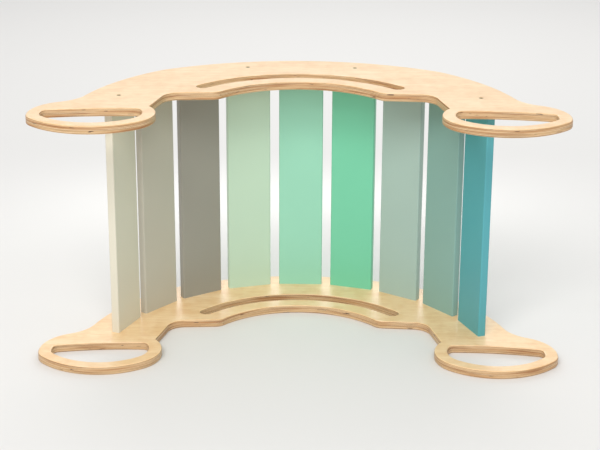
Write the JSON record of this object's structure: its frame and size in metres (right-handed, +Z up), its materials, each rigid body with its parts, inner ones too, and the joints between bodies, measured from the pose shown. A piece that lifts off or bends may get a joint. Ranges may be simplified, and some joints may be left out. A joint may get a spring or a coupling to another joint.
{
  "type": "rocker arch",
  "caption": "Children's wooden rocker arch: painted slats on a curve between two birch plywood side panels with hand holes and curved slots.",
  "frame": {"origin": "centre of the bounding box's bottom face, on the floor under the lower side panel", "axes": "+Z up along the slats, X along the length from handle to handle, -Y to the open side with the handles, +Y to the rocker"},
  "size_m": [1.1138, 0.5243, 0.546],
  "materials": {
    "birch_plywood": "clear satin lacquer on birch plywood, layered edges",
    "beech": "bare wood",
    "steel": "zinc-plated",
    "paint_warm_grey": "satin paint on wood",
    "paint_sand_grey": "satin paint on wood",
    "paint_stone_grey": "satin paint on wood",
    "paint_pale_green": "satin paint on wood",
    "paint_mint": "satin paint on wood",
    "paint_emerald": "satin paint on wood",
    "paint_grey_green": "satin paint on wood",
    "paint_teal_grey": "satin paint on wood",
    "paint_teal": "satin paint on wood"
  },
  "bodies": {
    "root": {"lower_side_panel": "birch_plywood", "upper_side_panel": "birch_plywood", "slat_1": "paint_warm_grey", "slat_2": "paint_sand_grey", "slat_3": "paint_stone_grey", "slat_4": "paint_pale_green", "slat_5": "paint_mint", "slat_6": "paint_emerald", "slat_7": "paint_grey_green", "slat_8": "paint_teal_grey", "slat_9": "paint_teal", "slat_1_dowels": "beech", "slat_2_dowels": "beech", "slat_3_dowels": "beech", "slat_4_dowels": "beech", "slat_5_dowels": "beech", "slat_6_dowels": "beech", "slat_7_dowels": "beech", "slat_8_dowels": "beech", "slat_9_dowels": "beech", "lower_screws": "steel", "upper_screws": "steel"}
  },
  "joints": []
}
